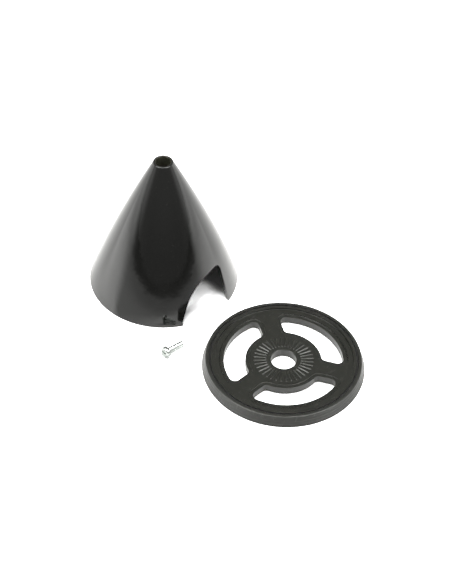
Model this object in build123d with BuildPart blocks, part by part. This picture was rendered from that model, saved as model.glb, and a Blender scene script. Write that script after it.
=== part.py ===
from build123d import *
from math import asin, atan2, cos, radians, sin, sqrt, tan
import os

# Propeller spinner, laid out in its three pieces: the nose cone stands on its rim, the
# backplate lies on its rear face and the nose screw lies beside them.
# Millimetres, +Z up. The origin is the centre of the shaft bore at the backplate's rear face.

# Backplate: inside the seat and the inner ring its front face slopes down to the web
rim_diameter = 64.2
rim_height = 4.4
groove_width = 0.6
groove_depth = 0.7
inner_ring_width = 1.3
slope_width = 2.2
web_thickness = 3.5
bore_diameter = 10.0
bore_chamfer = 0.2

# Windows between the three spokes, each inside a shallow shelf
spoke_count = 3
spoke_width = 8.8
spoke_direction = 105.3
hub_diameter = 30.0
window_outer_diameter = 47.0
window_corner = 2.2
shelf_margin = 1.4
shelf_depth = 0.3

# Grip ridges round the bore
ridge_count = 36
ridge_width = 0.5
ridge_height = 0.3
ridge_inner_diameter = 13.6
ridge_outer_diameter = 23.6

# Nose cone
seat_diameter = 61.4
cone_height = 61.2
cone_bulge = 1.1
cone_runs = 5
wall = 1.2
nose_diameter = 7.7
nose_chamfer = 0.35
socket_diameter = 6.2
socket_depth = 14.0
socket_wall = 1.2
screw_floor = 3.0
pocket_width = 0.9
pocket_step = 0.25
cone_place = (-49.5, 49.0)

# Blade cut-outs, as seen along the blade: a tall side, and a side that sweeps down
blade_count = 2
blade_direction = -49.8
cutout_width = 23.6
cutout_height = 16.8
cutout_tall_corner = 3.3
cutout_crown = 1.0
cutout_sweep_radius = 18.2
cutout_sweep_angle = 62.0

# Nose screw, pan head with a cross recess
thread_diameter = 2.2
thread_length = 8.3
thread_chamfer = 0.25
head_diameter = 4.4
head_height = 1.6
head_round = 0.8
recess_diameter = 2.4
recess_slot = 0.6
recess_depth = 0.9
screw_clearance = 0.1
screw_place = (-45.9, 3.5)
screw_direction = 44.6

# Worked out from the sizes above
rim_radius = rim_diameter / 2
seat_radius = seat_diameter / 2
nose_radius = nose_diameter / 2
hub_radius = hub_diameter / 2
window_outer_radius = window_outer_diameter / 2
bore_radius = bore_diameter / 2
socket_radius = socket_diameter / 2
screw_hole_radius = thread_diameter / 2 + screw_clearance


def cone_radius(height):
    """Outer radius of the cone: a straight taper that stands out by cone_bulge halfway."""
    share = height / cone_height
    taper = seat_radius + (nose_radius - seat_radius) * share
    return taper + 4 * cone_bulge * share * (1 - share)


def shell_radius(height):
    """Inner radius of the shell, one wall inside the cone."""
    slope = (seat_radius - nose_radius) / cone_height
    return cone_radius(height) - wall * sqrt(1 + slope**2)


# The seat on the plate is as wide as the cone's rim, and the groove starts at its inner edge
groove_outer_radius = shell_radius(0)
groove_inner_radius = groove_outer_radius - groove_width
inner_ring_radius = groove_inner_radius - inner_ring_width
web_radius = inner_ring_radius - slope_width


def backplate_section():
    """Half section of the plate: flared rim, seat, groove, inner ring, slope and web."""
    with BuildLine() as section:
        Polyline(
            (bore_radius, 0),
            (rim_radius, 0),
            (seat_radius, rim_height),
            (groove_outer_radius, rim_height),
            (groove_outer_radius, rim_height - groove_depth),
            (groove_inner_radius, rim_height - groove_depth),
            (groove_inner_radius, rim_height),
            (inner_ring_radius, rim_height),
            (web_radius, web_thickness),
            (bore_radius, web_thickness),
            close=True,
        )
    return section.line


def windows(margin):
    """Kidney windows, one between every two spokes: ring sectors with sides along the spokes."""
    inner = hub_radius - margin
    outer = window_outer_radius + margin
    side = spoke_width / 2 - margin
    half_turn = 180 / spoke_count

    def corner(radius, middle, way):
        turn = radians(middle + way * half_turn) - way * asin(side / radius)
        return (radius * cos(turn), radius * sin(turn))

    with BuildSketch() as outlines:
        for place in range(spoke_count):
            middle = spoke_direction + (2 * place + 1) * half_turn
            with BuildLine():
                inner_arc = ThreePointArc(
                    corner(inner, middle, -1),
                    (inner * cos(radians(middle)), inner * sin(radians(middle))),
                    corner(inner, middle, 1),
                )
                outer_arc = ThreePointArc(
                    corner(outer, middle, 1),
                    (outer * cos(radians(middle)), outer * sin(radians(middle))),
                    corner(outer, middle, -1),
                )
                Line(inner_arc @ 1, outer_arc @ 0)
                Line(outer_arc @ 1, inner_arc @ 0)
            make_face()
        fillet(outlines.vertices(), window_corner + margin)
    return outlines.sketch


# Backplate: moulded disc with a flared rim, three windows and a ridged hub
with BuildPart() as backplate:
    with BuildSketch(Plane.XZ):
        make_face(backplate_section())
    revolve(axis=Axis.Z)
    bore_edges = edges().filter_by(GeomType.CIRCLE).group_by(SortBy.RADIUS)[0]
    chamfer(bore_edges.sort_by(Axis.Z)[-1], bore_chamfer)
    with BuildSketch(Plane.XY.offset(web_thickness)):
        add(windows(shelf_margin))
    extrude(amount=-shelf_depth, mode=Mode.SUBTRACT)
    with BuildSketch():
        add(windows(0))
    extrude(amount=web_thickness, mode=Mode.SUBTRACT)

    ridge_middle = (ridge_inner_diameter + ridge_outer_diameter) / 4
    ridge_length = (ridge_outer_diameter - ridge_inner_diameter) / 2
    with BuildSketch(Plane.XY.offset(web_thickness)):
        with PolarLocations(ridge_middle, ridge_count, start_angle=spoke_direction):
            Rectangle(ridge_length, ridge_width)
    extrude(amount=ridge_height)
backplate.part.label = "backplate"


# The pocket beside the screw socket ends where the shell comes within pocket_width of it
socket_outer_radius = socket_radius + socket_wall
pocket_top = cone_height
while shell_radius(pocket_top) < socket_outer_radius + pocket_width:
    pocket_top -= pocket_step
socket_floor = cone_height - socket_depth
socket_end = socket_floor - screw_floor

cone_base = (cone_place[0], cone_place[1], 0)
cone_axis = Axis(cone_base, (0, 0, 1))
cone_section_plane = Plane(origin=cone_base, x_dir=(1, 0, 0), z_dir=(0, -1, 0))


def levels(top):
    """Heights from the rim to the top between which the taper runs straight."""
    return [top * run / cone_runs for run in range(cone_runs + 1)]


def cone_section():
    """Half section of the cone: shell, nose and the screw socket that hangs inside."""
    with BuildLine() as section:
        outside = Polyline([(cone_radius(height), height) for height in levels(cone_height)])
        inside = Polyline([(shell_radius(height), height) for height in levels(pocket_top)])
        Line(outside @ 0, inside @ 0)
        Polyline(
            inside @ 1,
            (socket_outer_radius, pocket_top),
            (socket_outer_radius, socket_end),
            (screw_hole_radius, socket_end),
            (screw_hole_radius, socket_floor),
            (socket_radius, socket_floor),
            (socket_radius, cone_height),
            outside @ 1,
        )
    return section.line


def cutout_outline():
    """The cut-out as seen along the blade, open at the rim."""
    half = cutout_width / 2
    crown = (half - cutout_tall_corner - cutout_crown, cutout_height - cutout_sweep_radius)
    with BuildLine() as outline:
        sweep = CenterArc(crown, cutout_sweep_radius, 90, cutout_sweep_angle)
        side_end = sweep @ 1
        drop = (side_end.X + half) * tan(radians(cutout_sweep_angle))
        side_foot = (-half, side_end.Y - drop)
        Line(side_end, side_foot)
        Polyline(side_foot, (-half, -wall), (half, -wall), (half, cutout_height), sweep @ 0)
    return outline.line


# Nose cone: moulded shell with a screw socket inside the nose and one cut-out for each blade
with BuildPart() as nose_cone:
    with BuildSketch(cone_section_plane):
        make_face(cone_section())
        chamfer(vertices().sort_by(Axis.Y)[-2:].sort_by(Axis.X)[-1], nose_chamfer)
    revolve(axis=cone_axis)
    for blade in range(blade_count):
        turn = radians(blade_direction + blade * 360 / blade_count)
        across, outwards = (-sin(turn), cos(turn), 0), (cos(turn), sin(turn), 0)
        along_blade = Plane(origin=cone_base, x_dir=across, z_dir=outwards)
        with BuildSketch(along_blade):
            make_face(cutout_outline())
            fillet(vertices().sort_by(Axis.X)[-2:].sort_by(Axis.Y)[-1], cutout_tall_corner)
        extrude(amount=seat_diameter, mode=Mode.SUBTRACT)
nose_cone.part.label = "nose_cone"

# The screw lies on the edge of its head and the end of its thread
head_radius = head_diameter / 2
thread_radius = thread_diameter / 2
screw_tilt = atan2(head_radius - thread_radius, thread_length - thread_chamfer)
screw_turn = radians(screw_direction)
screw_plane = Plane(
    origin=(screw_place[0], screw_place[1], head_radius * cos(screw_tilt)),
    x_dir=(sin(screw_turn), -cos(screw_turn), 0),
    z_dir=(cos(screw_tilt) * cos(screw_turn), cos(screw_tilt) * sin(screw_turn), -sin(screw_tilt)),
)
screw_axis = Axis(screw_plane.origin, screw_plane.z_dir)

# Nose screw: pan head with a cross recess, under it the threaded shank
with BuildPart() as nose_screw:
    with BuildSketch(screw_plane):
        Circle(thread_radius)
    extrude(amount=thread_length)
    chamfer(edges().group_by(screw_axis)[-1], thread_chamfer)
    with BuildSketch(screw_plane):
        Circle(head_radius)
    extrude(amount=-head_height)
    fillet(edges().group_by(screw_axis)[0], head_round)
    with BuildSketch(screw_plane.offset(-head_height)):
        Rectangle(recess_diameter, recess_slot)
        Rectangle(recess_slot, recess_diameter)
    extrude(amount=recess_depth, mode=Mode.SUBTRACT)
nose_screw.part.label = "nose_screw"

os.makedirs("parts", exist_ok=True)
export_step(backplate.part, "parts/backplate.step")
export_step(nose_cone.part, "parts/nose_cone.step")
export_step(nose_screw.part, "parts/nose_screw.step")
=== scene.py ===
import bmesh
import bpy
import numpy as np
from bpy.props import FloatProperty, FloatVectorProperty, IntProperty, PointerProperty
from mathutils import Matrix
from mathutils.geometry import tessellate_polygon


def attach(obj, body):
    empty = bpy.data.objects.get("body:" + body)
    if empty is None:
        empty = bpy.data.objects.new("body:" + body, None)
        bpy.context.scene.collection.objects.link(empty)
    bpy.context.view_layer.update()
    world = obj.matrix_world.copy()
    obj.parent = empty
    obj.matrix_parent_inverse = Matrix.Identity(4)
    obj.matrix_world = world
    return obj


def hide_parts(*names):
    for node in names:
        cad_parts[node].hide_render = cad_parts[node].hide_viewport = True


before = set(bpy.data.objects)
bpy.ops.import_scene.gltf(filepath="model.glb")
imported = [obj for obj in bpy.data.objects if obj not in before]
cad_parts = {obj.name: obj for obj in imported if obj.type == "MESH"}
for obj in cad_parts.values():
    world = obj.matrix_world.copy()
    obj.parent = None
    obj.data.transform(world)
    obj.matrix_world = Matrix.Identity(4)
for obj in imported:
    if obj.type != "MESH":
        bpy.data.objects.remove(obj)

bl_info = {
    "name": "Propeller Spinner",
    "version": (1, 0, 0),
    "blender": (4, 5, 0),
    "location": "3D View > Sidebar > Spinner",
    "description": "Nose cone, backplate and nose screw of a moulded propeller spinner",
    "category": "Add Mesh",
}

MM = 0.001
FULL = 2 * np.pi

# Levels of the floor and of the world for diffuse rays, and how yellow their reflections are
PLAIN_FLOOR = 0.8
PLAIN_WORLD = 0.7
WARMTH = 0.98

# Colours that the finishes are blended to
CONE_MARKS = (0.2, 0.2, 0.19, 1)
# Paler, mottled colours of the screw socket: painted light that stands in for light inside it
SOCKET_PAINTED_LIGHT_DIM, SOCKET_PAINTED_LIGHT_PALE = (0.07, 0.07, 0.05, 1), (0.16, 0.16, 0.12, 1)
PLATE_MARKS = (0.22, 0.22, 0.21, 1)
# Near-black painted shade for the plate's groove
GROOVE_PAINTED_SHADE = (0.002, 0.002, 0.002, 1)
ZINC_PALE = (0.52, 0.55, 0.53, 1)

# Dust on the front of the cone: direction in degrees, height and size in millimetres
CONE_DUST = (
    (-63.1, 52.1, 0.3), (-66.3, 51.1, 0.25), (-93.3, 44.2, 0.2),
    (-53.9, 36.9, 0.3), (-126.7, 35.9, 0.3), (-133.3, 13.3, 0.35))

# Height above the cut-outs where the shell turns plain, and steps down a cut-out's tall side
PLAIN_FROM = 20.0
TALL_STEPS = 16

# Camera fitted to the photograph: turns in radians, focal length in pixels, place in metres
CAMERA_TILT, CAMERA_ROLL = 0.77652, 0.032855
FOCAL_LENGTH, PICTURE_WIDTH, SENSOR_WIDTH = 1547.30, 452, 36.0
CAMERA_PLACE = (-0.023443, -0.414641, 0.446720)


# Surfaces


class Surface:
    """Collects grids of points with their normals and joins them into one closed mesh."""

    def __init__(self):
        self.points, self.normals, self.quads, self.triangles, self.count = [], [], [], [], 0

    def grid(self, points, normals):
        """Adds a surface given as rows by columns by 3: one quad between every four neighbours."""
        rows, columns = points.shape[:2]
        index = np.arange(rows * columns).reshape(rows, columns) + self.count
        quads = np.stack([index[:-1, :-1], index[1:, :-1], index[1:, 1:], index[:-1, 1:]], -1)
        self.quads.append(quads.reshape(-1, 4))
        self.points.append(points.reshape(-1, 3))
        self.normals.append(np.broadcast_to(normals, points.shape).reshape(-1, 3))
        self.count += rows * columns

    def sheet(self, loops, up):
        """Adds a flat face between an outer loop and its holes; up is 1 or -1."""
        outline = np.concatenate(loops)
        triangles = np.array(tessellate_polygon([loop.tolist() for loop in loops]))
        self.triangles.append(triangles + self.count)
        self.points.append(outline)
        self.normals.append(np.broadcast_to([0.0, 0.0, up], outline.shape))
        self.count += len(outline)

    def revolve(self, corners, azimuth, steps=4, side=1):
        """Adds a surface of revolution through rounded corners and returns its points."""
        points, normals = revolved(*rounded(corners, steps), azimuth)
        self.grid(points, normals * side)
        return points

    def piece(self, name, material, place=np.zeros(3)):
        """Makes the mesh: seams merged, faces turned outwards, the worked-out normals kept."""
        points = np.concatenate(self.points) + place
        faces = np.concatenate(self.quads).tolist()
        faces += np.concatenate(self.triangles).tolist() if self.triangles else []
        mesh = bpy.data.meshes.new(name)
        mesh.from_pydata((points * MM).tolist(), [], faces)
        mesh.attributes.new("outward", "FLOAT_VECTOR", "POINT")
        mesh.attributes["outward"].data.foreach_set("vector", np.concatenate(self.normals).ravel())
        joined = bmesh.new()
        joined.from_mesh(mesh)
        bmesh.ops.remove_doubles(joined, verts=joined.verts, dist=2e-7)
        bmesh.ops.dissolve_degenerate(joined, edges=joined.edges, dist=1e-8)
        bmesh.ops.recalc_face_normals(joined, faces=joined.faces)
        joined.to_mesh(mesh)
        joined.free()
        outward = np.empty((len(mesh.vertices), 3))
        mesh.attributes["outward"].data.foreach_get("vector", outward.ravel())
        facing = np.empty((len(mesh.vertices), 3), dtype=np.float32)
        mesh.vertex_normals.foreach_get("vector", facing.ravel())
        side = np.sign((outward * facing).sum(-1, keepdims=True))
        mesh.attributes.remove(mesh.attributes["outward"])
        mesh.shade_smooth()
        outward *= np.where(side == 0, 1, side)
        mesh.normals_split_custom_set_from_vertices(outward.tolist())
        mesh.materials.append(material)
        piece = bpy.data.objects.new(name, mesh)
        bpy.context.collection.objects.link(piece)
        return piece


def unit(vectors):
    """Vectors divided by their lengths."""
    return vectors / np.maximum(np.linalg.norm(vectors, axis=-1, keepdims=True), 1e-12)


def ray(turn):
    """Unit vectors in the plane at these turns."""
    return np.stack([np.cos(turn), np.sin(turn)], -1)


def polar(radius, turn, height):
    """Points at a radius, a turn and a height, each spread over the shape of the others."""
    return np.stack(np.broadcast_arrays(radius * np.cos(turn), radius * np.sin(turn), height), -1)


def closed(grid, turn=0, axis=1):
    """Grid with its first column, plus a turn, once more at the end."""
    return np.concatenate([grid, np.take(grid, [0], axis) + turn], axis)


def grid_normals(points):
    """Normals of a grid from the differences between its neighbours."""
    return unit(np.cross(np.gradient(points, axis=0), np.gradient(points, axis=1)))


def rounded(corners, steps=4):
    """Profile through corners of (across, up, radius). Each corner becomes an arc of its radius
    between the two points where it touches the runs; radius 0 keeps it as a point of a smooth
    curve. Returns the points (across, up) and their normals, to the left of the way it runs."""
    corners = np.array(corners, dtype=float)
    point, radius = corners[:, :2], corners[:, 2]
    runs = unit(np.diff(point, axis=0))
    before, after = np.vstack([runs[:1], runs]), np.vstack([runs, runs[-1:]])
    aslant = before[:, 0] * after[:, 1] - before[:, 1] * after[:, 0]
    turn = np.arctan2(aslant, (before * after).sum(-1))
    back = radius * np.tan(np.abs(turn) / 2)
    part = np.linspace(0, 1, steps + 1)
    bent, spin = np.abs(turn)[:, None] * part, turn[:, None] * part
    left = np.stack([-before[:, 1], before[:, 0]], -1)[:, None]
    inward = left * np.sign(turn)[:, None, None]
    along = (radius[:, None] * np.sin(bent) - back[:, None])[..., None] * before[:, None]
    aside = (radius[:, None] * (1 - np.cos(bent)))[..., None] * inward
    normal = left * np.cos(spin)[..., None] - before[:, None] * np.sin(spin)[..., None]
    keep = (radius[:, None] > 0) | (np.arange(steps + 1) == steps // 2)
    return (point[:, None] + along + aside)[keep], normal[keep]


def carried(profile, normals, outline, outward):
    """Profile of (offset, height) along an outline: outline + offset * outward, at height."""
    level = np.ones((len(outline), 1))
    points = np.concatenate([
        outline + profile[:, None, :1] * outward, profile[:, None, 1:] * level], -1)
    turned = np.concatenate([normals[:, None, :1] * outward, normals[:, None, 1:] * level], -1)
    return points, turned


def revolved(profile, normals, azimuth):
    """Surface of revolution: every profile point (radius, height) at every azimuth."""
    across = ray(azimuth)
    return carried(profile, normals, np.zeros_like(across), across)


def ease(x):
    """0 below 0, 1 above 1 and a smooth rise between: 3x^2 - 2x^3."""
    x = np.clip(x, 0, 1)
    return x * x * (3 - 2 * x)


# Materials


def math_node(operation):
    """Method that adds a Math node, fed by the value itself and the others."""
    def method(self, *others):
        return self.shader.node("ShaderNodeMath", {"operation": operation}, self, *others)
    return method


class Value:
    """A number on a shader socket. Its operators add Math nodes, so masks are expressions."""

    __add__ = __radd__ = math_node("ADD")
    __mul__ = __rmul__ = math_node("MULTIPLY")
    __sub__ = math_node("SUBTRACT")
    __truediv__ = math_node("DIVIDE")
    __pow__ = math_node("POWER")
    __gt__ = math_node("GREATER_THAN")
    __lt__ = math_node("LESS_THAN")
    __abs__ = math_node("ABSOLUTE")
    most = math_node("MAXIMUM")

    def __init__(self, shader, socket):
        self.shader, self.socket = shader, socket

    def __rsub__(self, other):
        return self * -1 + other

    def ramp(self, low, high):
        """0 at low, 1 at high, smooth between and flat outside."""
        return self.shader.node(
            "ShaderNodeMapRange", {"interpolation_type": "SMOOTHSTEP"},
            Value=self, **{"From Min": low, "From Max": high})


class Shader:
    """Node tree of a material or of the world, emptied down to its output."""

    def __init__(self, owner, output="ShaderNodeOutputMaterial"):
        owner.use_nodes = True
        self.owner, self.tree = owner, owner.node_tree
        self.tree.nodes.clear()
        self.output = self.tree.nodes.new(output)

    @classmethod
    def named(cls, name):
        return cls(bpy.data.materials.get(name) or bpy.data.materials.new(name))

    def close(self, kind, **values):
        """Ends the tree with one shader, its sockets filled by name."""
        node = self.tree.nodes.new(kind)
        for key, value in values.items():
            self.put(node.inputs[key.replace("_", " ")], value)
        self.tree.links.new(node.outputs[0], self.output.inputs["Surface"])
        return self.owner

    def put(self, socket, value):
        if isinstance(value, Value):
            self.tree.links.new(value.socket, socket)
        elif value is not None:
            socket.default_value = value

    def node(self, kind, settings=None, *values, out=0, **named):
        """Adds a node: its settings, then its sockets' values or links in order or by name."""
        node = self.tree.nodes.new(kind)
        for key, setting in (settings or {}).items():
            setattr(node, key, setting)
        for socket, value in zip(node.inputs, values):
            self.put(socket, value)
        for key, value in named.items():
            self.put(node.inputs[key.replace("_", " ")], value)
        return Value(self, node.outputs[out])

    def place(self, centre=(0, 0, 0), turn=(0, 0, 0), scale=(1, 1, 1)):
        """Object coordinates in millimetres, measured from a centre, turned and stretched."""
        spot = self.node("ShaderNodeTexCoord", out=3)
        moved = self.node(
            "ShaderNodeVectorMath", {"operation": "MULTIPLY_ADD"},
            spot, (1000, 1000, 1000), tuple(-value for value in centre))
        return self.node("ShaderNodeMapping", {"vector_type": "TEXTURE"},
                         Vector=moved, Rotation=turn, Scale=scale)

    def axes(self, vector):
        """The three parts of a vector."""
        split = self.node("ShaderNodeSeparateXYZ", None, vector)
        return [Value(self, socket) for socket in split.socket.node.outputs]

    def noise(self, vector, scale, detail=2.0, rough=0.5):
        return self.node(
            "ShaderNodeTexNoise", Vector=vector, Scale=scale, Detail=detail, Roughness=rough)

    def specks(self, vector, scale, size, share):
        """Round specks: distance to scattered points, kept only in the given share of cells."""
        cell = self.node("ShaderNodeTexVoronoi", Vector=vector, Scale=scale)
        tone = self.axes(Value(self, cell.socket.node.outputs["Color"]))[0]
        near = 1 - cell.ramp(size * 0.5, size)
        return near * (tone > 1 - share)

    def blot(self, vector, centre, size):
        """Soft round mark of the given size about a point."""
        apart = self.node(
            "ShaderNodeVectorMath", {"operation": "DISTANCE"}, vector, tuple(centre), out=1)
        return 1 - apart.ramp(size * 0.4, size)

    def scratches(self, centre, turn, scale, width, share):
        """Hairlines: the thin edge between long drawn-out cells, of which only a share shows."""
        vector = self.place(centre, turn, (scale * 14, scale, scale * 14))
        edge = self.node(
            "ShaderNodeTexVoronoi", {"feature": "DISTANCE_TO_EDGE"}, Vector=vector, Scale=1.0)
        broken = self.noise(self.place(centre), 0.35, 1.0)
        return (1 - edge.ramp(0, width)) * broken.ramp(1 - share, 1.05 - share)

    def blend(self, mask, first, second):
        """Colour that goes from first to second with the mask."""
        node = self.tree.nodes.new("ShaderNodeMix")
        node.data_type = "RGBA"
        self.put(node.inputs["Factor"], mask)
        self.put(node.inputs[6], first)
        self.put(node.inputs[7], second)
        return Value(self, node.outputs[2])

    def bump(self, height, strength, distance):
        return self.node(
            "ShaderNodeBump", Height=height, Strength=strength, Distance=distance * MM)


def opaque(colour):
    return (*colour, 1.0)


def from_axis(across, along):
    """Distance from an upright axis."""
    return (across * across + along * along) ** 0.5


def polished_plastic(cone, finish):
    """Polished black moulding with faint flow waves, dust and hairlines, and painted light in the
    screw
    socket: a paler, mottled colour there. It is dull more than 0.4 to 0.8 of the wall inside the
    skin, which is rim - share * fall + 4 * bulge * share * (1 - share)."""
    shader = Shader.named("polished_black_plastic")
    axis = (cone.place_x, cone.place_y, 0)
    spot = shader.place(axis)
    across, along, up = shader.axes(spot)
    share, fall = up * (1 / cone.height), cone.rim_radius - cone.nose_radius
    skin = cone.rim_radius - share * fall + share * (1 - share) * (4 * cone.bulge)
    radius = from_axis(across, along)
    inside = 1 - (radius - skin).ramp(-0.8 * cone.wall, -0.4 * cone.wall)
    dust = shader.specks(spot, scale=0.42, size=0.045, share=0.1) * 0.3
    for turn, height, size in CONE_DUST:
        centre = polar(cone.rim_radius - fall * height / cone.height, np.radians(turn), height)
        dust = dust.most(shader.blot(spot, centre, size) * 0.8)
    hairs = shader.scratches(axis, (0.3, 0.2, 0.9), scale=1.6, width=0.012, share=0.3)
    marks = dust.most(hairs * 0.14)
    cloud = shader.noise(spot, 0.09, 3.0)
    rough = finish.cone_roughness + cloud * 0.04 + marks * 0.3 + inside * 0.4
    waves = shader.noise(spot, 0.16, 2.0) + shader.noise(spot, 2.4, 2.0) * 0.02 + marks * 0.05
    # Painted light in the screw socket: its lining is a paler, mottled colour than the black shell
    in_socket = 1 - radius.ramp(cone.socket_radius, cone.socket_radius + 0.2)
    in_socket = in_socket * up.ramp(cone.height - 20, cone.height - 19)
    mottle = shader.noise(spot, 1.6, 3.0, 0.7).ramp(0.3, 0.8)
    body = shader.blend(marks, opaque(finish.cone_colour), CONE_MARKS)
    socket_painted_light = shader.blend(mottle, SOCKET_PAINTED_LIGHT_DIM, SOCKET_PAINTED_LIGHT_PALE)
    return shader.close(
        "ShaderNodeBsdfPrincipled", Base_Color=shader.blend(in_socket, body, socket_painted_light),
        Roughness=rough, IOR=1.5, Normal=shader.bump(waves, 0.35, 0.1))


def satin_plastic(plate, finish):
    """Satin black moulding: fine grain, flow marks, pale specks and hairlines, a paler rubbed seat
    and painted shade in the groove: near black and duller there."""
    shader = Shader.named("satin_black_plastic")
    spot = shader.place()
    across, along, up = shader.axes(spot)
    radius, seat = from_axis(across, along), plate.rim_height
    grain = shader.noise(spot, 5.0, 3.0, 0.6)
    flow = shader.noise(shader.place(turn=(0, 0, 0.5), scale=(1, 3, 1)), 0.35, 3.0)
    dust = shader.specks(spot, scale=0.55, size=0.07, share=0.22) * 0.5
    hairs = shader.scratches((0, 0, 0), (0, 0, 0.7), scale=1.1, width=0.03, share=0.45)
    marks = dust.most(hairs * 0.25)
    rubbed = radius.ramp(plate.groove_outer, plate.seat_radius) * up.ramp(seat - 0.6, seat - 0.2)
    tone = marks * 0.7 + (flow - 0.5) * 0.03 + rubbed * (0.05 + flow * 0.12)
    rough = finish.plate_roughness + (grain - 0.5) * 0.12 + (flow - 0.5) * 0.1 + marks * 0.15
    height = grain * 0.25 + flow * 0.4 + marks * 0.3
    # Painted shade in the groove: a near-black colour and a higher roughness on its walls and floor
    groove_inner = plate.groove_outer - plate.groove_width
    groove = (radius > groove_inner - 0.02) * (radius < plate.groove_outer + 0.02)
    groove = groove * (1 - up.ramp(seat - 0.08, seat - 0.02))
    body = shader.blend(tone.most(0), opaque(finish.plate_colour), PLATE_MARKS)
    return shader.close(
        "ShaderNodeBsdfPrincipled", Base_Color=shader.blend(groove, body, GROOVE_PAINTED_SHADE),
        Roughness=rough + groove * 0.4, IOR=1.5, Normal=shader.bump(height, 0.4, 0.06))


def zinc(screw, finish):
    """Zinc plate: bright, slightly green metal with a fine crystal grain and paler clouds."""
    shader = Shader.named("zinc_plate")
    spot = shader.place((screw.place_x, screw.place_y, 0))
    grain = shader.noise(spot, 9.0, 3.0, 0.65)
    cloud = shader.noise(spot, 1.3, 2.0).ramp(0.35, 0.75)
    return shader.close(
        "ShaderNodeBsdfPrincipled",
        Base_Color=shader.blend(cloud, opaque(finish.zinc_colour), ZINC_PALE),
        Metallic=1.0, Roughness=finish.zinc_roughness + (grain - 0.5) * 0.12,
        Normal=shader.bump(grain, 0.25, 0.02))


# Sizes


def length(name, value, text, low=0.0):
    return FloatProperty(name=name, default=value, min=low, description=text + ", in millimetres")


def angle(name, degrees, text):
    return FloatProperty(name=name, default=np.radians(degrees), subtype="ANGLE", description=text)


def colour(name, value, text):
    return FloatVectorProperty(
        name=name, subtype="COLOR", default=value, min=0, max=1, description="Colour of " + text)


def roughness(name, value, text):
    return FloatProperty(name=name, default=value, min=0, max=1, description="Roughness of " + text)


def brightness(name, value, text):
    return FloatProperty(name=name, default=value, min=0, description="Brightness of " + text)


class ConeSizes(bpy.types.PropertyGroup):
    """Sizes of the nose cone, in millimetres and degrees."""

    place_x: length("Place X", -49.5, "Cone axis across the layout", -1000)
    place_y: length("Place Y", 49.0, "Cone axis along the layout", -1000)
    rim_radius: length("Rim radius", 30.7, "Outer radius at the rim")
    nose_radius: length("Nose radius", 3.85, "Outer radius at the nose")
    height: length("Height", 61.2, "Height from rim to nose")
    bulge: length("Bulge", 1.1, "How far the middle stands outside a straight taper")
    wall: length("Wall", 1.2, "Thickness of the shell")
    nose_round: length("Nose round", 0.45, "Radius of the outer edge of the nose")
    socket_radius: length("Socket radius", 3.1, "Radius of the screw socket")
    socket_wall: length("Socket wall", 1.2, "Wall of the screw socket inside the cone")
    socket_floor: length("Socket floor", 47.2, "Height of the socket's floor")
    socket_end: length("Socket end", 44.2, "Height of the socket's lower end")
    pocket_top: length("Pocket top", 55.7, "Top of the space between socket and shell")
    hole_radius: length("Hole radius", 1.2, "Radius of the screw hole")
    turn: angle("Blade direction", -49.8, "Direction of the first blade")
    cut_width: length("Cut-out width", 23.6, "Width of a cut-out at the rim")
    cut_height: length("Cut-out height", 16.8, "Height of a cut-out")
    cut_corner: length("Tall corner", 3.3, "Radius at the tall side of a cut-out")
    cut_crown: length("Crown", 1.0, "Level run at the top of a cut-out")
    cut_sweep: length("Sweep radius", 18.2, "Radius of the swept side of a cut-out")
    cut_sweep_angle: angle("Sweep angle", 62.0, "Turn of the swept side before it runs straight")
    edge: length("Edge", 0.14, "Rounding of the moulded edges")


class PlateSizes(bpy.types.PropertyGroup):
    """Sizes of the backplate, in millimetres and degrees."""

    rim_radius: length("Rim radius", 32.1, "Outer radius at the rear face")
    rim_height: length("Rim height", 4.4, "Height of the seat")
    seat_radius: length("Seat radius", 30.7, "Outer radius of the seat")
    groove_outer: length("Groove outer", 29.39, "Outer radius of the groove")
    groove_width: length("Groove width", 0.75, "Width of the groove")
    groove_depth: length("Groove depth", 0.7, "Depth of the groove")
    ring_width: length("Inner ring", 1.15, "Width of the raised inner ring")
    ring_step: length("Ring step", 0.75, "Height of the step at the inner ring's inner edge")
    slope_width: length("Slope width", 2.2, "Width of the slope from the step to the web")
    web: length("Web", 3.5, "Thickness of the web")
    bore_radius: length("Bore radius", 5.0, "Radius of the shaft bore")
    bore_chamfer: length("Bore chamfer", 0.2, "Chamfer at the front of the bore")
    hub_radius: length("Hub radius", 15.0, "Radius of the hub inside the windows")
    window_radius: length("Window radius", 23.5, "Outer radius of the windows")
    window_corner: length("Window corner", 2.2, "Corner radius of the windows")
    spoke_half: length("Half spoke", 4.4, "Half the width of a spoke")
    spoke_turn: angle("Spoke direction", 105.3, "Direction of the first spoke")
    shelf_margin: length("Shelf margin", 1.4, "Width of the shelf round a window")
    shelf_depth: length("Shelf depth", 0.3, "Depth of the shelf")
    ridges: IntProperty(name="Ridges", default=36, min=3, description="Number of grip ridges")
    ridge_width: length("Ridge width", 0.5, "Width of a ridge")
    ridge_height: length("Ridge height", 0.3, "Height of a ridge")
    ridge_inner: length("Ridge start", 6.8, "Radius at which a ridge starts")
    ridge_outer: length("Ridge end", 11.8, "Radius at which a ridge ends")
    edge: length("Edge", 0.12, "Rounding of the moulded edges")
    mould_step: length("Mould step", 0.06, "Depth of the fine lines round the flared wall")


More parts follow.
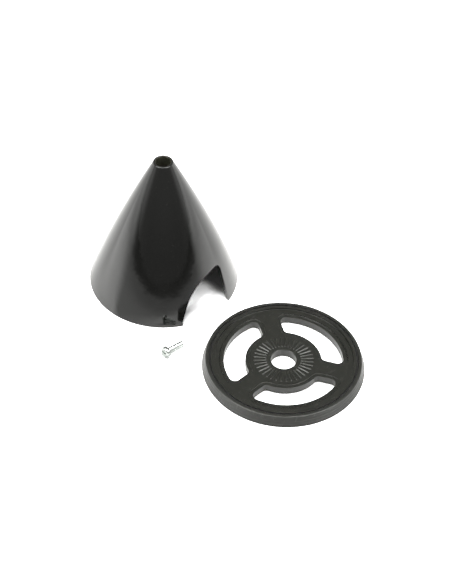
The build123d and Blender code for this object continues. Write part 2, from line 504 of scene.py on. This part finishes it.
class ScrewSizes(bpy.types.PropertyGroup):
    """Sizes of the nose screw, in millimetres and degrees."""

    place_x: length("Place X", -45.9, "Underside of the head across the layout", -1000)
    place_y: length("Place Y", 3.5, "Underside of the head along the layout", -1000)
    turn: angle("Direction", 44.6, "Direction in which the thread points")
    thread_radius: length("Thread radius", 1.1, "Outer radius of the thread")
    thread_length: length("Thread length", 8.3, "Length under the head")
    thread_chamfer: length("Thread chamfer", 0.25, "Chamfer at the end of the thread")
    pitch: length("Pitch", 0.45, "Distance from turn to turn of the thread", 0.05)
    thread_depth: length("Thread depth", 0.08, "Depth of the thread")
    neck_swell: length("Neck swell", 0.02, "How far the neck stands outside the thread")
    neck_length: length("Neck length", 0.12, "Length of the neck between head and thread")
    head_radius: length("Head radius", 2.2, "Radius of the head")
    head_height: length("Head height", 1.6, "Height of the head")
    head_round: length("Head round", 0.8, "Rounding of the head's edge")
    head_face: length("Head face", 1.36, "Radius of the face with the recess")
    recess: length("Recess", 2.4, "Length of the cross recess")
    recess_slot: length("Recess slot", 0.6, "Width of the recess's slots")
    recess_depth: length("Recess depth", 0.9, "Depth of the recess")


class Finish(bpy.types.PropertyGroup):
    """Colours and gloss of the pieces and the stage."""

    cone_colour: colour("Cone colour", (0.0092, 0.0094, 0.0082), "the polished plastic")
    cone_roughness: roughness("Cone roughness", 0.05, "the polished plastic")
    plate_colour: colour("Plate colour", (0.0135, 0.0142, 0.0105), "the satin plastic")
    plate_roughness: roughness("Plate roughness", 0.32, "the satin plastic")
    zinc_colour: colour("Zinc colour", (0.46, 0.485, 0.47), "the zinc plate")
    zinc_roughness: roughness("Zinc roughness", 0.2, "the zinc plate")
    floor_level: brightness("Floor level", 2.6, "the floor as the camera sees it")
    floor_front: brightness("Floor in front", 1.3, "the floor before the cone in reflections")
    floor_beside: brightness("Floor beside", 3.1, "the floor beside the cone in reflections")
    floor_behind: brightness("Floor behind", 1.95, "the floor behind the cone in reflections")
    floor_windows: brightness("Floor in windows", 2.2, "the plate's windows in reflections")
    light_line: length("Light line", 29.0, "Start of the brighter floor by the cone", -1000)
    paper_radius: length("Paper radius", 400.0, "How far the floor reflects in front")
    surround: brightness("Surround", 1.2, "the white sides in reflections")
    ceiling: brightness("Ceiling", 0.5, "the white ceiling in reflections")
    pane: brightness("Bright panes", 18.0, "the panes that rounded edges show as lines")
    dark: brightness("Dim room", 0.29, "the room in front of the table in reflections")


def sizes(group):
    return getattr(bpy.context.scene, group)


# Nose cone


def arc_radius(first, middle, last):
    """Radius of the shell at a height, on the circle through three (radius, height) points."""
    (ax, ay), (bx, by), (cx, cy) = first, middle, last
    left = np.array([[bx - ax, by - ay], [cx - ax, cy - ay]])
    right = np.array([
        bx * bx - ax * ax + by * by - ay * ay, cx * cx - ax * ax + cy * cy - ay * ay]) / 2
    x, y = np.linalg.solve(left, right)
    size = np.hypot(ax - x, ay - y)
    return lambda height: x + np.sqrt(size**2 - (height - y) ** 2)


def cone_walls(cone):
    """Outer and inner radius of the shell as functions of the height."""
    fall = cone.rim_radius - cone.nose_radius
    skew = cone.wall * np.sqrt(1 + (fall / cone.height) ** 2)

    def taper(height):
        share = height / cone.height
        return cone.rim_radius - fall * share + 4 * cone.bulge * share * (1 - share)

    outer = arc_radius(*((taper(h), h) for h in (0.0, cone.height / 2, cone.height)))
    inner = arc_radius(*((taper(h) - skew, h) for h in (0.0, cone.pocket_top / 2, cone.pocket_top)))
    return outer, inner


def cutout_edge(cone):
    """The edge of a cut-out as (across, height), from the swept side's foot over the crown to the
    other foot, and the index of its last point on the sweep."""
    half = cone.cut_width / 2
    hub = np.array([half - cone.cut_corner - cone.cut_crown, cone.cut_height - cone.cut_sweep])
    sweep = hub + cone.cut_sweep * ray(np.pi / 2 + cone.cut_sweep_angle * np.linspace(1, 0, 27))
    drop = (sweep[0, 0] + half) * np.tan(cone.cut_sweep_angle)
    foot = np.array([-half, sweep[0, 1] - drop])
    straight = foot + (sweep[0] - foot) * np.linspace(0, 1, 10)[:-1, None]
    corner_hub = np.array([half - cone.cut_corner, cone.cut_height - cone.cut_corner])
    corner = corner_hub + cone.cut_corner * ray(np.radians(np.linspace(90, 0, 13)))
    down = np.linspace(1, 0, TALL_STEPS + 1)[1:, None]
    tall = np.array([half, 0]) + np.array([0, corner[-1, 1]]) * down
    first = np.array([[-half, 0], [-half, foot[1] / 2]])
    edge = np.concatenate([first, straight, sweep, corner, tall])
    return edge, len(first) + len(straight) + len(sweep) - 1


class SPINNER_OT_nose_cone(bpy.types.Operator):
    """Nose cone: a shell of revolution with a swept cut-out for each blade and a screw socket."""

    bl_idname = "spinner.nose_cone"
    bl_label = "Nose Cone"

    def execute(self, context):
        cone = sizes("spinner_cone")
        outer, inner = cone_walls(cone)
        edge, crown = cutout_edge(cone)
        run = np.concatenate([[0], np.cumsum(np.hypot(*np.diff(edge, axis=0).T))])
        foot = np.arcsin(cone.cut_width / 2 / cone.rim_radius)
        # Azimuths on the plain shell above, by the distance along the cut-out's edge below
        stations = [
            (0, -foot - 0.03), (run[crown], np.arcsin(edge[crown, 0] / outer(PLAIN_FROM))),
            (run[-TALL_STEPS - 1], np.radians(34)), (run[-1], np.radians(43))]
        share = np.linspace(0, 1, 62)[1:-1]

        def around(over):
            """Azimuths over a cut-out, on along the base to the other one, and both once more."""
            base = over[-1] + (np.pi + over[0] - over[-1]) * share
            half = np.concatenate([over, base])
            return np.concatenate([half, half + np.pi])

        def rim(wall):
            """Closed lower edge of one wall: azimuth from asin(across / radius), and height."""
            height = np.concatenate([edge[:, 1], np.zeros(len(share))])
            return around(np.arcsin(edge[:, 0] / wall(edge[:, 1]))), np.tile(height, 2)

        def spot(wall, azimuth, height):
            return polar(wall(height), azimuth + cone.turn, height)

        def facing(wall, azimuth, height, side):
            """Normal of the wall: one across, the fall of the radius up."""
            fall = (wall(height + 0.01) - wall(height - 0.01)) / 0.02
            return unit(polar(1, azimuth + cone.turn, -fall)) * side

        upper = around(np.interp(run, *zip(*stations)))
        shell = Surface()
        lips = []
        edges = [rim(wall) for wall in (outer, inner)]
        ends = [spot(wall, *line) for wall, line in zip((outer, inner), edges)]
        through = unit(ends[1] - ends[0])
        run_way = unit(np.roll(ends[0], -1, 0) - np.roll(ends[0], 1, 0))
        cut_normal = unit(np.cross(through, run_way))
        away = unit(spot(outer, upper, np.full(len(upper), PLAIN_FROM)) - ends[0])
        cut_normal *= -np.sign((cut_normal * away).sum(-1, keepdims=True))
        # Each wall rises from its rounded lip to the plain shell
        step = np.array([0, 0.06, 0.2, 0.4, 0.65, 1.0])[:, None]
        part = np.linspace(0, 1, 5)[:, None, None]
        for wall, (azimuth, height), end, side in zip((outer, inner), edges, ends, (1, -1)):
            normal = facing(wall, azimuth, height, side)
            slide = unit(np.cross(normal, run_way))
            slide *= np.sign((slide * away).sum(-1, keepdims=True))
            start = end + slide * cone.edge
            start_azimuth = np.unwrap(np.arctan2(start[:, 1], start[:, 0])) - cone.turn
            start_azimuth += np.round((azimuth - start_azimuth) / FULL) * FULL
            azimuths = closed(start_azimuth + (upper - start_azimuth) * step, FULL)
            heights = closed(start[:, 2] + (PLAIN_FROM - start[:, 2]) * step)
            shell.grid(spot(wall, azimuths, heights), facing(wall, azimuths, heights, side))
            lip = end + through * cone.edge * side
            first = (1 - part) ** 2 * spot(wall, start_azimuth, start[:, 2])
            bend = first + 2 * part * (1 - part) * end + part**2 * lip
            shell.grid(closed(bend), closed(unit((1 - part) * normal + part * cut_normal)))
            lips.append(lip)
        shell.grid(closed(np.stack(lips)), closed(cut_normal, axis=0))

        blunt, fine = 0.2, 0.1
        socket_outer = cone.socket_radius + cone.socket_wall
        shell.revolve([
            *((outer(h), h, 0) for h in np.linspace(PLAIN_FROM, cone.height, 24)[:-1]),
            (cone.nose_radius, cone.height, cone.nose_round),
            (cone.socket_radius, cone.height, blunt),
            (cone.socket_radius, cone.socket_floor, blunt),
            (cone.hole_radius, cone.socket_floor, fine),
            (cone.hole_radius, cone.socket_end, fine),
            (socket_outer, cone.socket_end, blunt),
            (socket_outer, cone.pocket_top, blunt),
            (inner(cone.pocket_top), cone.pocket_top, blunt),
            *((inner(h), h, 0) for h in np.linspace(cone.pocket_top, PLAIN_FROM, 20)[1:])],
            closed(upper, FULL, 0) + cone.turn, steps=6, side=-1)
        piece = shell.piece("cone_shell", polished_plastic(cone, sizes("spinner_finish")),
                            np.array([cone.place_x, cone.place_y, 0]))
        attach(piece, "root")
        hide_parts("nose_cone")
        return {"FINISHED"}


# Backplate


def window_outline(plate, place, steps=9):
    """Closed outline of one window with its outward normals: a ring sector with sides along the
    spokes. The centre of each rounded corner lies its radius inside the two lines that it joins."""
    corner = plate.window_corner
    half, quarter = np.pi / 3, np.pi / 2
    near, far = plate.hub_radius + corner, plate.window_radius - corner
    aside = plate.spoke_half + corner
    near_turn, far_turn = half - np.arcsin(aside / near), half - np.arcsin(aside / far)
    across, along = ray(plate.spoke_turn + (2 * place + 1) * half)
    spin = np.array([[across, along], [-along, across]])

    def round_corner(radius, turn, first, last):
        outward = ray(np.linspace(first, last, steps))
        return radius * ray(turn) + corner * outward, outward

    def arc(radius, first, last, side, count):
        outward = ray(np.linspace(first, last, count)[1:-1])
        return radius * outward, outward * side

    pieces = [
        arc(plate.window_radius, -far_turn, far_turn, 1, 64),
        round_corner(far, far_turn, far_turn, half + quarter),
        round_corner(near, near_turn, half + quarter, near_turn + np.pi),
        arc(plate.hub_radius, near_turn, -near_turn, -1, 34),
        round_corner(near, -near_turn, np.pi - near_turn, FULL - half - quarter),
        round_corner(far, -far_turn, -half - quarter, -far_turn)]
    outline, outward = (np.concatenate(part) for part in zip(*pieces))
    return outline @ spin, outward @ spin


class SPINNER_OT_backplate(bpy.types.Operator):
    """Backplate: flared rim with seat and groove, three windows inside shelves and a ridged hub."""

    bl_idname = "spinner.backplate"
    bl_label = "Backplate"

    def execute(self, context):
        plate = sizes("spinner_plate")
        disc = Surface()
        edge, foot, crisp = plate.edge, plate.edge * 0.8, 0.05
        top, seat = plate.web, plate.rim_height
        shelf = top - plate.shelf_depth
        groove_inner = plate.groove_outer - plate.groove_width
        ring_inner = groove_inner - plate.ring_width
        slope_inner = ring_inner - plate.slope_width
        groove_floor = seat - plate.groove_depth
        flare = plate.rim_radius - plate.seat_radius

        def on_flare(share, inwards=0.0):
            """Corner on the flared wall at a share of its height, moved inwards."""
            return plate.rim_radius - flare * share - inwards, seat * share, 0.02

        mould_lines = []
        for share in (0.8, 0.52, 0.25):
            mould_lines += [on_flare(share + 0.016, plate.mould_step), on_flare(share)]
        rim = disc.revolve([
            (slope_inner - 0.2, top, 0), (slope_inner, top, 0.8),
            (ring_inner - 0.02, seat - plate.ring_step, edge * 1.2), (ring_inner, seat, 0.04),
            (groove_inner, seat, crisp), (groove_inner, groove_floor, foot),
            (plate.groove_outer, groove_floor, foot), (plate.groove_outer, seat, crisp),
            (plate.seat_radius, seat, edge * 3.5), *mould_lines,
            (plate.rim_radius, 0, edge), (plate.rim_radius - 0.6, 0, 0)], np.linspace(0, FULL, 361))

        points, normals = rounded([
            (plate.shelf_margin + 0.5, top, 0), (plate.shelf_margin, top, edge),
            (plate.shelf_margin, shelf, foot), (0, shelf, edge), (0, 0, edge), (0.5, 0, 0)])
        upper_loops, lower_loops = [], []
        for place in range(3):
            outline, outward = (closed(part, axis=0) for part in window_outline(plate, place))
            window, window_normals = carried(points, normals, outline, outward)
            disc.grid(window, -window_normals)
            upper_loops.append(window[0, :-1])
            lower_loops.append(window[-1, :-1])

        # Hub: columns at distances aside of each ridge's middle line, rows closer at its ends
        half_width = plate.ridge_width / 2
        sector = np.pi / plate.ridges
        side = np.array([0, 0.04, 0.08, 0.12, 0.16, 0.2, 0.24, 0.28, 0.32, 0.36, 0.42])
        side = np.concatenate([-side[:0:-1], side])
        ends = np.array([-0.3, -0.2, -0.1, -0.03, 0.04, 0.1, 0.17, 0.26, 0.4])
        chamfer_radius = plate.bore_radius + plate.bore_chamfer
        radius = np.unique(np.concatenate([
            [chamfer_radius + 0.2, 6.2, 12.1, 12.5],
            plate.ridge_inner + ends, plate.ridge_outer - ends,
            np.linspace(plate.ridge_inner + ends[-1], plate.ridge_outer - ends[-1], 9)]))[:, None]
        flank = np.concatenate([np.arcsin(side / radius), np.full_like(radius, sector)], 1)
        away = np.concatenate([
            np.broadcast_to(side, (len(radius), len(side))), radius * np.sin(sector)], 1)
        past_end = np.maximum(
            plate.ridge_inner + half_width - radius, radius - plate.ridge_outer + half_width)
        gap = np.hypot(away, np.maximum(past_end, 0))
        lift = top + plate.ridge_height * ease(1 - gap / (half_width * 1.5))
        start = plate.spoke_turn + np.arange(plate.ridges) * 2 * sector
        turn = (start[None, :, None] + flank[:, None, :]).reshape(len(radius), -1)
        turn = closed(turn, FULL)
        hub = polar(radius, turn, closed(np.tile(lift, (1, plate.ridges))))
        slope = grid_normals(hub)
        slope *= np.sign(slope[..., 2:])
        slope[[0, -1]] = slope[:, -1] = slope[:, 0] = (0, 0, 1)
        disc.grid(hub, slope)

        bore = disc.revolve([
            (chamfer_radius + 0.2, top, 0), (chamfer_radius, top, 0.1),
            (plate.bore_radius, top - plate.bore_chamfer, 0.15), (plate.bore_radius, 0, edge),
            (plate.bore_radius + 0.4, 0, 0)], turn[0])

        disc.sheet([rim[0, :-1], *upper_loops, hub[-1, :-1]], 1)
        disc.sheet([rim[-1, :-1], *lower_loops, bore[-1, :-1]], -1)
        piece = disc.piece("plate_disc", satin_plastic(plate, sizes("spinner_finish")))
        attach(piece, "root")
        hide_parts("backplate")
        return {"FINISHED"}


# Nose screw


class SPINNER_OT_nose_screw(bpy.types.Operator):
    """Nose screw: pan head with a cross recess and a rolled thread, lying on its side."""

    bl_idname = "spinner.nose_screw"
    bl_label = "Nose Screw"

    def execute(self, context):
        screw = sizes("spinner_screw")
        around = np.linspace(0, FULL, 97)
        body = Surface()
        neck = screw.thread_radius + screw.neck_swell

        # Head's face: the cross recess gets shallower towards the ends of its slots
        radius = np.linspace(0.0, screw.head_face, 35)[:, None]
        across, along = np.abs(radius * np.cos(around)), np.abs(radius * np.sin(around))
        longer, shorter = np.maximum(across, along), np.minimum(across, along)
        slot, half = screw.recess_slot / 2, screw.recess / 2
        inside = ease((slot + 0.05 - shorter) / 0.1) * ease((half + 0.05 - longer) / 0.12)
        depth = screw.recess_depth * (1 - 0.45 * np.clip(longer / half, 0, 1))
        face = polar(radius, around, -screw.head_height + depth * inside)
        slope = grid_normals(face)
        slope[[0, -1]] = (0, 0, 1)
        slope[:, 0] = slope[:, -1] = unit(slope[:, 1] + slope[:, -2])
        body.grid(face, slope)
        body.revolve([
            (screw.head_face, -screw.head_height, 0),
            (screw.head_radius, -screw.head_height, screw.head_round),
            (screw.head_radius, 0, 0.08), (neck, 0, 0.05), (neck, screw.neck_length, 0)],
            around, steps=8)

        # Thread: fades in behind the neck and ends in the chamfer, phase counts the turns
        turns = (screw.thread_length - screw.neck_length) / screw.pitch
        along = np.linspace(screw.neck_length, screw.thread_length, int(turns * 12))[:, None]
        phase = (along / screw.pitch - around / FULL) % 1.0
        tooth = ease(np.abs(phase - 0.5) * 2.6 - 0.25)
        fade = ease((along - screw.neck_length) / 0.5)
        tip = np.clip((screw.thread_length - along) / screw.thread_chamfer, 0, 1)
        crest = screw.thread_radius + screw.neck_swell * (1 - fade)
        limit = neck - screw.thread_chamfer * (1 - tip)
        helix = polar(np.minimum(crest - screw.thread_depth * tooth * fade, limit), around, along)
        slope = grid_normals(helix)
        slope[:, 0] = slope[:, -1] = unit(slope[:, 0] + slope[:, -1])
        body.grid(helix, slope)
        shrink = np.linspace(1, 0, 4)[:, None, None]
        end = helix[-1] * (1, 1, 0) * shrink + (0, 0, screw.thread_length)
        body.grid(end, np.array([0.0, 0.0, 1.0]))

        # The screw lies on the edge of its head and the end of its thread
        tilt = np.arctan2(
            screw.head_radius - screw.thread_radius, screw.thread_length - screw.thread_chamfer)
        lean = polar(np.cos(tilt), screw.turn, -np.sin(tilt))
        right = np.array([np.sin(screw.turn), -np.cos(screw.turn), 0])
        basis = np.stack([right, np.cross(lean, right), lean])
        body.points = [points @ basis for points in body.points]
        body.normals = [normals @ basis for normals in body.normals]
        place = np.array([screw.place_x, screw.place_y, screw.head_radius * np.cos(tilt)])
        piece = body.piece("screw_body", zinc(screw, sizes("spinner_finish")), place)
        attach(piece, "root")
        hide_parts("nose_screw")
        return {"FINISHED"}


# Stage


def rays(shader):
    """1 for rays from the camera or through glass, and 1 for rays that gloss reflects."""
    path = shader.tree.nodes.new("ShaderNodeLightPath").outputs
    names = "Is Camera Ray", "Is Transmission Ray", "Is Glossy Ray"
    camera, glass, glossy = (Value(shader, path[name]) for name in names)
    return camera.most(glass), glossy


def mixed(share, first, second):
    """Goes from first to second with the share."""
    return first + share * (second - first)


def table(half, material):
    """Square floor of the stage."""
    mesh = bpy.data.meshes.new("floor")
    corners = [(-half, -half, 0), (half, -half, 0), (half, half, 0), (-half, half, 0)]
    mesh.from_pydata(corners, [], [(0, 1, 2, 3)])
    mesh.materials.append(material)
    floor = bpy.data.objects.new("floor", mesh)
    bpy.context.collection.objects.link(floor)


def facing_room(across, along):
    """Cosine of a level direction from the middle of the dim room, 5 degrees right of the front."""
    turn = np.radians(5)
    reach = from_axis(across, along)
    return (across * np.sin(turn) - along * np.cos(turn)) / reach.most(0.001)


def open_floor(cone, finish, across, along):
    """Level of the floor in reflections: painted light and shade, which only gloss sees. In front
    it gets dimmer forwards and ends at about paper_radius in the dim room. Behind the light line,
    which slants forwards on both sides of the cone, it has one painted level of light beside the
    cone and one in the wedge behind it. Round the plate all of it is painted brighter."""
    aside, back = across - cone.place_x, along - cone.place_y
    apart = from_axis(aside, back)
    room = mixed(facing_room(aside, back).ramp(0.15, 0.55), finish.surround, finish.dark)
    dimmer = (along * -1).ramp(0, 130) * (1 - (aside * -1).ramp(60, 220) * 0.35)
    near = mixed(dimmer, finish.floor_front, finish.floor_front * 0.65)
    beyond = from_axis(aside, along).ramp(finish.paper_radius - 30, finish.paper_radius + 30)
    front = mixed(1 - beyond, room, near)
    wedge = (along - abs(aside) * 0.47).ramp(9.5, 33.5)
    beside = finish.floor_beside * mixed(aside.ramp(0, 60), 1, 0.85)
    behind = mixed(wedge.most(apart.ramp(100, 350)), beside, finish.floor_behind)
    behind = behind * (apart.ramp(250, 700) * 0.7 + 1)
    slant = abs(aside) * 0.27
    lit = ((along + slant - finish.light_line) / (slant - 6.5).most(3)).ramp(-1, 1)
    by_plate = mixed((across * -1).ramp(0, 40), 1.3, 1.75)
    return mixed(lit, front, behind) * mixed(from_axis(across, along).ramp(45, 85), by_plate, 1)


def pale_floor(cone, screw, finish):
    """White table. The camera sees it overexposed, and inside the cone, where the cut-out shows it,
    with a painted pool of light on one side of the shadow's edge and painted shade on the other.
    Gloss sees open_floor, with painted light, a level of its own, inside the plate and painted
    shade, half of either level, before the screw."""
    shader = Shader.named("pale_floor")
    seen, glossy = rays(shader)
    across, along, _ = shader.axes(shader.place())
    # Painted shade on the floor before the screw: it halves the floor's level in reflections there
    by_screw = from_axis(across - screw.place_x - 2, along - screw.place_y - 2)
    screw_painted_shade = (1 - by_screw.ramp(3, 14)) * (1 - (along - screw.place_y - 2).ramp(-2, 3))
    # Painted light on the floor under the plate, seen only in reflections
    in_plate = 1 - from_axis(across, along).ramp(23, 26)
    shown = mixed(in_plate, open_floor(cone, finish, across, along), finish.floor_windows)
    shown = shown * mixed(screw_painted_shade, 1, 0.5)
    # Painted light and painted shade on the floor inside the cone: a pool of light on one side of
    # the shadow's edge, shade on the other
    apart = from_axis(across - cone.place_x, along - cone.place_y)
    painted_light_pool = mixed(apart.ramp(19, 24), 4, 1.1)
    painted_shade_side = (across * 0.59 + along * 0.81).ramp(14.5, 19.8)
    shade = mixed(apart.ramp(25, 28), mixed(painted_shade_side, painted_light_pool, 0.35), 1)
    level = mixed(seen, mixed(glossy, PLAIN_FLOOR, shown), finish.floor_level * shade)
    blue = level * mixed(glossy, 1, WARMTH)
    tint = shader.node("ShaderNodeCombineColor", None, level, level, blue)
    return shader.close("ShaderNodeBsdfDiffuse", Color=tint)


def surround(finish):
    """World: white to the camera. The object sees a dim room in front between white sides, and in
    its gloss bright panes above the camera and at both sides, which rounded edges show as lines."""
    world = bpy.data.worlds.new("white_surround")
    bpy.context.scene.world = world
    shader = Shader(world, "ShaderNodeOutputWorld")
    seen, glossy = rays(shader)
    across, along, up = shader.axes(shader.node("ShaderNodeTexCoord"))
    forwards = along * -1
    side = mixed(up.ramp(0.15, 0.45), finish.surround, finish.ceiling)
    ahead = facing_room(across, along)
    room = finish.dark * mixed(up.ramp(0.03, 0.2), 1, 1.45) + (1 - ahead.ramp(0.5, 0.85)) * 0.08
    front = ahead.ramp(0.15, 0.55)
    above = up.ramp(0.82, 0.87) * (1 - up.ramp(0.95, 0.97)) * forwards.ramp(-0.02, 0.05)
    beside = up.ramp(0.4, 0.46) * (1 - up.ramp(0.78, 0.83)) * abs(across).ramp(0.5, 0.58)
    panes = above.most(beside * forwards.ramp(0.02, 0.1) * 0.6) * finish.pane
    shown = mixed(front * (1 - up.ramp(0.35, 0.6)), side, room).most(panes)
    plain = PLAIN_WORLD * mixed(front * (1 - up.ramp(0.5, 0.85)), side, room * 0.35)
    warm = shader.blend(glossy, (1, 1, 1, 1), (1, 1, WARMTH, 1))
    shader.close("ShaderNodeBackground", Color=warm,
                 Strength=mixed(seen, mixed(glossy, plain, shown), 1.0))


def placed(right, up, back, place):
    """Matrix of an object with these axes at a place."""
    return Matrix(np.vstack([np.column_stack([right, up, back, place]), [0, 0, 0, 1]]).tolist())


def lamp(name, place, aim, size, power):
    """Soft area lamp that looks from its place towards its aim."""
    data = bpy.data.lights.new(name, "AREA")
    data.shape, data.size, data.energy = "DISK", size, power
    light = bpy.data.objects.new(name, data)
    bpy.context.collection.objects.link(light)
    forward = unit(np.array(aim, dtype=float) - place)
    right = unit(np.cross(forward, (0, 0, 1.0001)) + (1e-9, 0, 0))
    light.matrix_world = placed(right, np.cross(right, forward), -forward, place)
    light.visible_glossy = False


def fitted_camera():
    """Camera that looks along +Y, tilted down and rolled a little."""
    right, ahead = np.array([1.0, 0, 0]), np.array([0, np.cos(CAMERA_TILT), -np.sin(CAMERA_TILT)])
    up = np.array([0, np.sin(CAMERA_TILT), np.cos(CAMERA_TILT)])
    side = right * np.cos(CAMERA_ROLL) + up * np.sin(CAMERA_ROLL)
    rise = up * np.cos(CAMERA_ROLL) - right * np.sin(CAMERA_ROLL)
    data = bpy.data.cameras.new("camera")
    data.sensor_fit, data.sensor_width = "HORIZONTAL", SENSOR_WIDTH
    data.lens = SENSOR_WIDTH * FOCAL_LENGTH / PICTURE_WIDTH
    data.clip_start, data.clip_end = 0.01, 20.0
    camera = bpy.data.objects.new("camera", data)
    bpy.context.collection.objects.link(camera)
    camera.matrix_world = placed(side, rise, -ahead, CAMERA_PLACE)
    bpy.context.scene.camera = camera


class SPINNER_OT_stage(bpy.types.Operator):
    """Pale floor, white surround with a dim room in front, one soft lamp and the camera."""

    bl_idname = "spinner.stage"
    bl_label = "Stage"

    def execute(self, context):
        finish = sizes("spinner_finish")
        table(3, pale_floor(sizes("spinner_cone"), sizes("spinner_screw"), finish))
        surround(finish)
        lamp("ceiling_lamp", (0.0, 0.1, 0.95), (0, 0, 0), size=0.5, power=7.5)
        fitted_camera()
        bpy.context.scene.view_settings.view_transform = "Standard"
        return {"FINISHED"}


# Add-on


class SPINNER_PT_panel(bpy.types.Panel):
    """Buttons and sizes in the 3D view's sidebar."""

    bl_idname = "SPINNER_PT_panel"
    bl_label = "Propeller Spinner"
    bl_space_type = "VIEW_3D"
    bl_region_type = "UI"
    bl_category = "Spinner"

    def draw(self, context):
        for operator, group in zip(OPERATORS, GROUPS):
            box = self.layout.box()
            box.operator(operator.bl_idname)
            for key in type(sizes(group)).__annotations__:
                box.prop(sizes(group), key)


GROUPS = {
    "spinner_cone": ConeSizes, "spinner_plate": PlateSizes,
    "spinner_screw": ScrewSizes, "spinner_finish": Finish}
OPERATORS = SPINNER_OT_nose_cone, SPINNER_OT_backplate, SPINNER_OT_nose_screw, SPINNER_OT_stage
CLASSES = *GROUPS.values(), *OPERATORS, SPINNER_PT_panel


def register():
    for made in CLASSES:
        bpy.utils.register_class(made)
    for name, group in GROUPS.items():
        setattr(bpy.types.Scene, name, PointerProperty(type=group))


def unregister():
    for name in GROUPS:
        delattr(bpy.types.Scene, name)
    for made in reversed(CLASSES):
        bpy.utils.unregister_class(made)


def main():
    """Registers the classes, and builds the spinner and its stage."""
    register()
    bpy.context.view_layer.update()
    bpy.ops.spinner.nose_cone()
    bpy.ops.spinner.backplate()
    bpy.ops.spinner.nose_screw()
    bpy.ops.spinner.stage()


if __name__ == "__main__":
    main()
